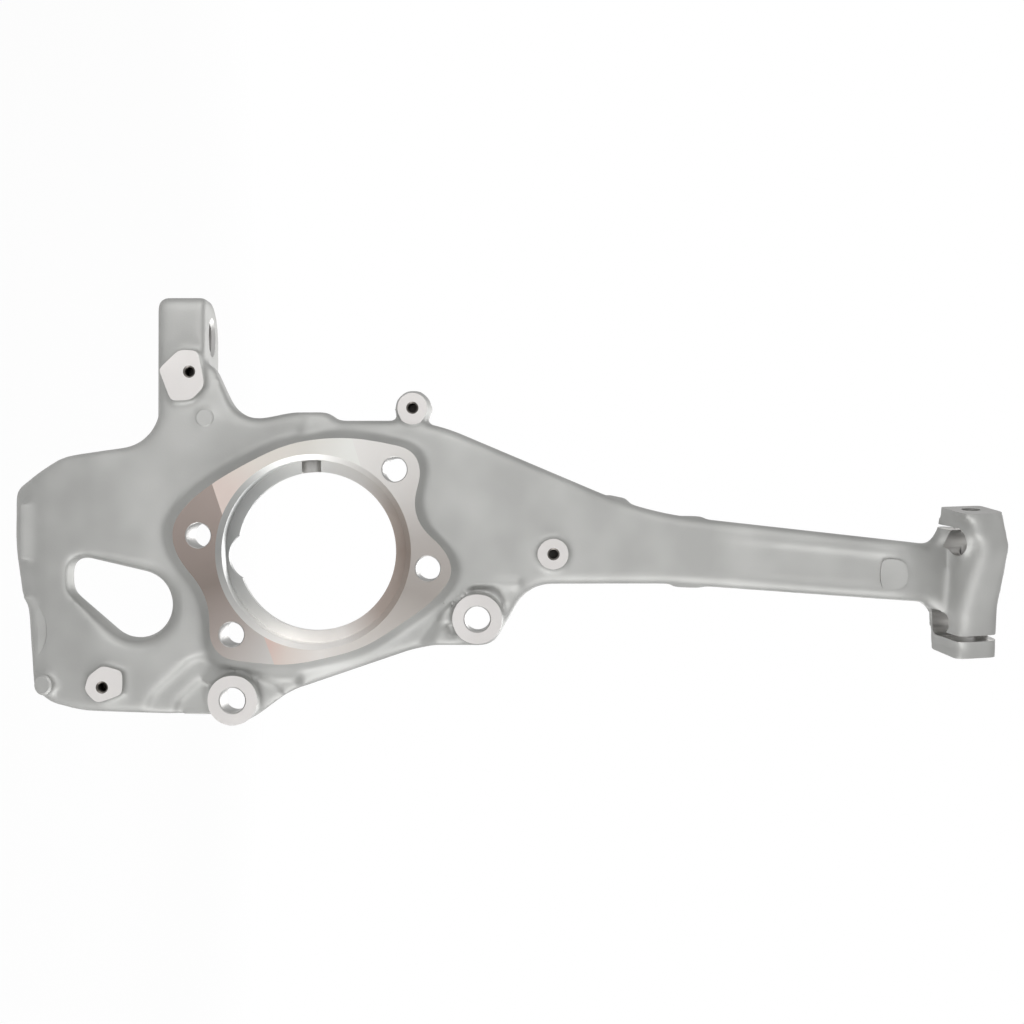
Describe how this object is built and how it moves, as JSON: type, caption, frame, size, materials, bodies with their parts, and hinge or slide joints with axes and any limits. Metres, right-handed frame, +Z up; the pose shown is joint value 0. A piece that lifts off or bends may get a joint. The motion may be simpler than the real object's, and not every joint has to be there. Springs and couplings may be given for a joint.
{
  "type": "steering knuckle",
  "caption": "One-piece cast aluminium steering knuckle with a hub seat, a long neck to a split clamp head, a steering arm eye and caliper bosses.",
  "frame": {"origin": "middle of the hub bore on the milled outboard flange face", "axes": "+Z up the neck to the clamp head, -Y outboard along the hub axis, +X towards the brake caliper bosses"},
  "size_m": [0.2309, 0.07, 0.5432],
  "materials": {
    "cast_aluminium": "satin, blasted casting with milled faces"
  },
  "bodies": {
    "root": {"knuckle": "cast_aluminium"}
  },
  "joints": []
}
